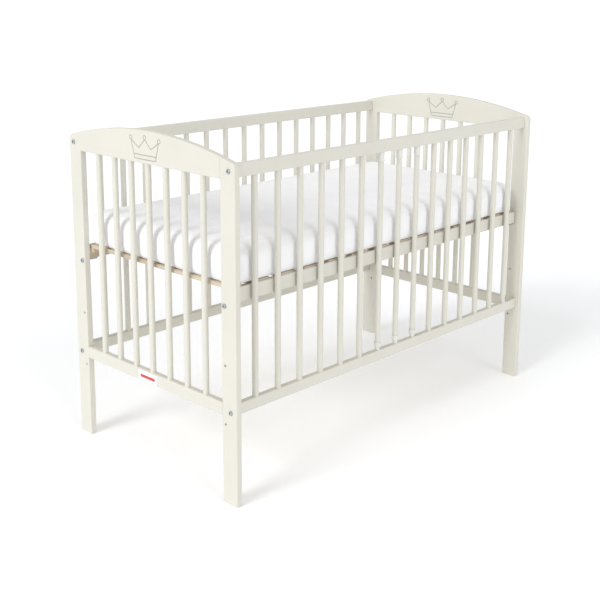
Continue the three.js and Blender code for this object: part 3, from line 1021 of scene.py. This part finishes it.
def make_slats():
    grain = random.Random(11)
    for number, (low, high) in enumerate(slat_boxes(), 1):
        warp = grain.uniform(0, 40)
        shape = seeded(block(low, high, SLAT_EDGE_ROUND), warp)
        piece = add_object(f"pine_slat_{number}", mesh_of("slat", shape), PINE_Y)
        smooth(piece)
        belongs(piece, "bed_base", "raw_pine", "base_slat_deck")


def make_battens():
    grain = random.Random(23)
    low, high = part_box("base_slat_deck")
    top = high.z - SLAT_THICKNESS
    for side in SIDES:
        sign = 1 if side == "back" else -1
        outer = abs(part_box(f"base_{side}_rail")[0 if sign > 0 else 1].y) - GAP
        outer_y, inner_y = sign * outer, sign * (outer - BATTEN_WIDTH)
        shape = block((low.x + GAP, min(outer_y, inner_y), low.z),
                      (high.x - GAP, max(outer_y, inner_y), top), SLAT_EDGE_ROUND)
        shape = seeded(shape, grain.uniform(0, 40))
        piece = add_object(f"pine_batten_{side}", mesh_of("batten", shape), PINE_X)
        smooth(piece)
        belongs(piece, "bed_base", "raw_pine", "base_slat_deck")


def make_staples():
    """Two wire staples at each end of each slat, driven flush into its top."""
    shapes = []
    wire, half_crown, inset = 0.6 * MM, 5.5 * MM, 11 * MM
    sunk, proud, edge = 0.25 * MM, 0.15 * MM, 0.15 * MM
    for low, high in slat_boxes():
        middle_x = (low[0] + high[0]) / 2
        spread = min(15 * MM, (high[0] - low[0]) / 2 - 8 * MM)
        for y in (low[1] + inset, high[1] - inset):
            for x in (middle_x - spread, middle_x + spread):
                shapes.append(block((x - half_crown, y - wire, high[2] - sunk),
                                    (x + half_crown, y + wire, high[2] + proud), edge, 2))
    piece = add_object("slat_staples", mesh_of("staples", merged(shapes)), ZINC)
    smooth(piece)
    return belongs(piece, "bed_base", "zinc_steel")


# ---- mattress

def mattress_start():
    """A block a little lower than the mattress, because it swells, with round corners and edges."""
    low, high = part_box("mattress")
    high -= Vector((0, 0, MATTRESS_SWELL * 0.7))
    shape = bmesh.new()
    bmesh.ops.create_cube(shape, size=1)
    bmesh.ops.scale(shape, vec=high - low, verts=shape.verts)
    bmesh.ops.translate(shape, vec=(low + high) / 2, verts=shape.verts)
    upright = [e for e in shape.edges if abs(e.verts[0].co.z - e.verts[1].co.z) > MATTRESS_TOP_EDGE]
    bmesh.ops.bevel(shape, geom=upright, offset=MATTRESS_CORNER, segments=10, profile=0.5,
                    affect="EDGES")
    for level, radius in ((high.z, MATTRESS_TOP_EDGE), (low.z, MATTRESS_LOW_EDGE)):
        rim = [e for e in shape.edges
               if e.calc_face_angle() > math.radians(60) and abs(e.verts[0].co.z - level) < MM]
        bmesh.ops.bevel(shape, geom=rim, offset=radius, segments=8, profile=0.5, affect="EDGES")
    return shape


def simulate(piece):
    """Swells the remeshed block with cloth pressure, and caps how far a point moves."""
    rest = [v.co.copy() for v in piece.data.vertices]
    cloth = piece.modifiers.new("swell", "CLOTH")
    settings = cloth.settings
    settings.quality = CLOTH_QUALITY
    settings.mass = CLOTH_MASS
    settings.tension_stiffness = CLOTH_STRETCH
    settings.compression_stiffness = CLOTH_STRETCH
    settings.bending_stiffness = CLOTH_BEND
    settings.use_pressure = True
    settings.uniform_pressure_force = CLOTH_PRESSURE
    settings.effector_weights.gravity = 0
    scene = bpy.context.scene
    scene.frame_start, scene.frame_end = 1, CLOTH_FRAMES
    cloth.point_cache.frame_start, cloth.point_cache.frame_end = 1, CLOTH_FRAMES
    for step in range(1, CLOTH_FRAMES + 1):
        scene.frame_set(step)
    apply_modifiers(piece)
    for vertex, was in zip(piece.data.vertices, rest):
        move = vertex.co - was
        if move.length > 1e-9:
            soft = MATTRESS_SWELL * math.tanh(move.length / MATTRESS_SWELL)
            vertex.co = was + move.normalized() * soft


def make_mattress():
    low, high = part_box("mattress")
    piece = add_object("mattress_pad", mesh_of("mattress_pad", mattress_start()))
    remesh = piece.modifiers.new("remesh", "REMESH")
    remesh.mode = "VOXEL"
    remesh.voxel_size = MATTRESS_VOXEL
    apply_modifiers(piece)
    simulate(piece)
    rest_on_slats(piece, low.z)
    divide = piece.modifiers.new("divide", "SUBSURF")
    divide.levels = divide.render_levels = 1
    apply_modifiers(piece)
    rest_on_slats(piece, low.z)
    refine_walls(piece)
    press_against_bars(piece, low.z)
    piece.data.materials.append(KNIT)
    piece.data.polygons.foreach_set("use_smooth", [True] * len(piece.data.polygons))
    belongs(piece, "mattress", "mattress_cover", "mattress")
    make_seam(piece)


def rest_on_slats(piece, floor):
    """Flattens the pad where it lies on the slats, and where it would touch the bars round it."""
    reach_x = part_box("foot_bar_1")[0].x - MATTRESS_CLEARANCE
    reach_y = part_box("back_top_rail")[0].y - MATTRESS_CLEARANCE / 2
    for vertex in piece.data.vertices:
        vertex.co.x = max(-reach_x, min(reach_x, vertex.co.x))
        vertex.co.y = max(-reach_y, min(reach_y, vertex.co.y))
        vertex.co.z = max(vertex.co.z, floor)


def between_bars(place, pitch, bars):
    """0 beside a bar, and nearly 1 a finger's width away. The bars are evenly spaced, with one in
    the middle."""
    if abs(place) > pitch * (bars + 1) / 2:
        return 0.0
    from_bar = abs((place / pitch + 0.5) % 1 - 0.5) * pitch
    return 1 - math.exp(-(max(0.0, from_bar - BAR_TOUCH) / BAR_FADE) ** 2)


def ramp(value, low, high):
    """0 below low, 1 above high, and even between them."""
    return min(1.0, max(0.0, (value - low) / (high - low)))


def refine_walls(piece):
    """Splits the faces of the pad's four walls, which press against the bars."""
    low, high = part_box("mattress")
    shape = bmesh.new()
    shape.from_mesh(piece.data)

    def on_wall(vertex):
        margin = min(high.x - abs(vertex.co.x), high.y - abs(vertex.co.y))
        return margin < MATTRESS_WALL

    walls = [e for e in shape.edges if all(on_wall(v) for v in e.verts)]
    bmesh.ops.subdivide_edges(shape, edges=walls, cuts=1, use_grid_fill=True, smooth=0.5)
    shape.to_mesh(piece.data)
    shape.free()


def press_against_bars(piece, floor):
    """The cover stands further out between the bars than beside them, clears the foot cups when
    the base is low, and its lower edge hangs over the last slat at each end."""
    low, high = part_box("mattress")
    deck_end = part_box("base_slat_deck")[1].x
    end_pitch = abs(middle("head_bar_2").y - middle("head_bar_1").y)
    cups = [middle(f"bar_cup_{number}") for number in LOOSE_BARS]
    cup_radius = half_width("bar_cup_1") + GAP
    for vertex in piece.data.vertices:
        place = vertex.co
        above = place.z - floor
        wall = ramp(above, *BULGE_LOW) * ramp(high.z - place.z, 0, BULGE_TOP)
        end_gap = between_bars(place.y, end_pitch, len(END_BAR_NUMBERS))
        side_gap = between_bars(place.x, SIDE_BAR_PITCH, SIDE_BARS)
        near_side = ramp(abs(place.y), high.y - BULGE_SIDE[0], high.y - BULGE_SIDE[1])
        near_end = ramp(abs(place.x), high.x - BULGE_SIDE[0], high.x - BULGE_SIDE[1])
        place.y += math.copysign(MATTRESS_BULGE * wall * side_gap * near_side, place.y)
        place.x += math.copysign(MATTRESS_BULGE * wall * end_gap * near_end, place.x)
        if place.y < 0 and above < CUP_REACH:
            for cup in cups:
                aside = abs(place.x - cup.x)
                if aside < cup_radius:
                    place.y = max(place.y, cup.y + math.sqrt(cup_radius ** 2 - aside ** 2))
        past_deck = ramp(abs(place.x), deck_end + 0.5 * MM, deck_end + 2 * MM)
        lowered = 1 - ramp(above, 0, SAG_HEIGHT)
        hollow = math.cos(math.pi * place.y / (2 * high.y)) ** 2
        place.z -= MATTRESS_SAG * past_deck * lowered * hollow * (0.55 + 0.45 * end_gap)


def make_seam(pad):
    """The closed zip seam round the cover, just above its lower edge, laid on the swollen surface."""
    low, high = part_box("mattress")
    surface = BVHTree.FromObject(pad, bpy.context.evaluated_depsgraph_get())
    points = []
    for place, inward in perimeter(low, high, SEAM_STEP):
        start = Vector((place.x, place.y, low.z + SEAM_RISE)) - inward * 60 * MM
        hit, _, _, _ = surface.ray_cast(start, inward, 0.3)
        points.append(hit + inward * SEAM_RADIUS * 0.5)
    shape = swept_tube(points, SEAM_RADIUS, True, 8)
    piece = add_object("mattress_seam", mesh_of("seam", shape), SEAM)
    smooth(piece)
    belongs(piece, "mattress", "mattress_cover")


def perimeter(low, high, step):
    """Places and inward directions round a rectangle with round corners."""
    radius = MATTRESS_CORNER + 20 * MM
    centre = (low + high) / 2
    half_x, half_y = (high.x - low.x) / 2 - radius, (high.y - low.y) / 2 - radius
    corners = [(half_x, half_y, 0), (-half_x, half_y, 1), (-half_x, -half_y, 2), (half_x, -half_y, 3)]
    path = []
    for index, (x, y, quarter) in enumerate(corners):
        turns = max(4, int(radius * math.pi / 2 / step))
        for i in range(turns):
            a = (quarter + i / turns) * math.pi / 2
            out = Vector((math.cos(a), math.sin(a), 0))
            path.append((Vector((x, y, 0)) + out * radius, -out))
        nx, ny, _ = corners[(index + 1) % 4]
        a = (quarter + 1) * math.pi / 2
        out = Vector((math.cos(a), math.sin(a), 0))
        start, end = Vector((x, y, 0)) + out * radius, Vector((nx, ny, 0)) + out * radius
        steps = max(2, int((end - start).length / step))
        path += [(start.lerp(end, i / steps), -out) for i in range(steps)]
    return [(Vector((centre.x, centre.y, 0)) + place, inward) for place, inward in path]


# ---- label

def make_label():
    low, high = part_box("blank_label")
    film = block(low, high, 0.15 * MM, 2)
    height, margin = high.z - low.z, 9 * MM
    band = block((low.x - 0.08 * MM, low.y + margin, low.z + 0.3 * height),
                 (low.x + 0.2 * MM, high.y - margin, low.z + 0.62 * height), 0.04 * MM, 1)
    for face in band.faces:
        face.material_index = 1
    piece = add_object("plain_label", mesh_of("plain_label", merged([film, band])), FILM, BAND)
    smooth(piece)
    return belongs(piece, "frame", "label_film", "blank_label")


# ---- build

PAINT_X, PAINT_Y, PAINT_Z = (painted_wood(axis) for axis in range(3))
PINE_X, PINE_Y = raw_pine(0), raw_pine(1)
# painted shade for the bottom of the crown's engraved line
GROOVE_SHADE = groove_painted_shade()
ZINC = zinc_steel()
MILKY = milky_plastic()
KNIT = mattress_knit()
SEAM = seam_thread()
FILM = label_film()
BAND = label_band()

make_camera()
make_studio()
make_floor()
make_end_frames()
make_front_side()
make_back_side()
make_bolts()
for base_side in SIDES:
    make_base_rail(base_side)
make_slats()
make_battens()
make_staples()
make_mattress()
make_label()
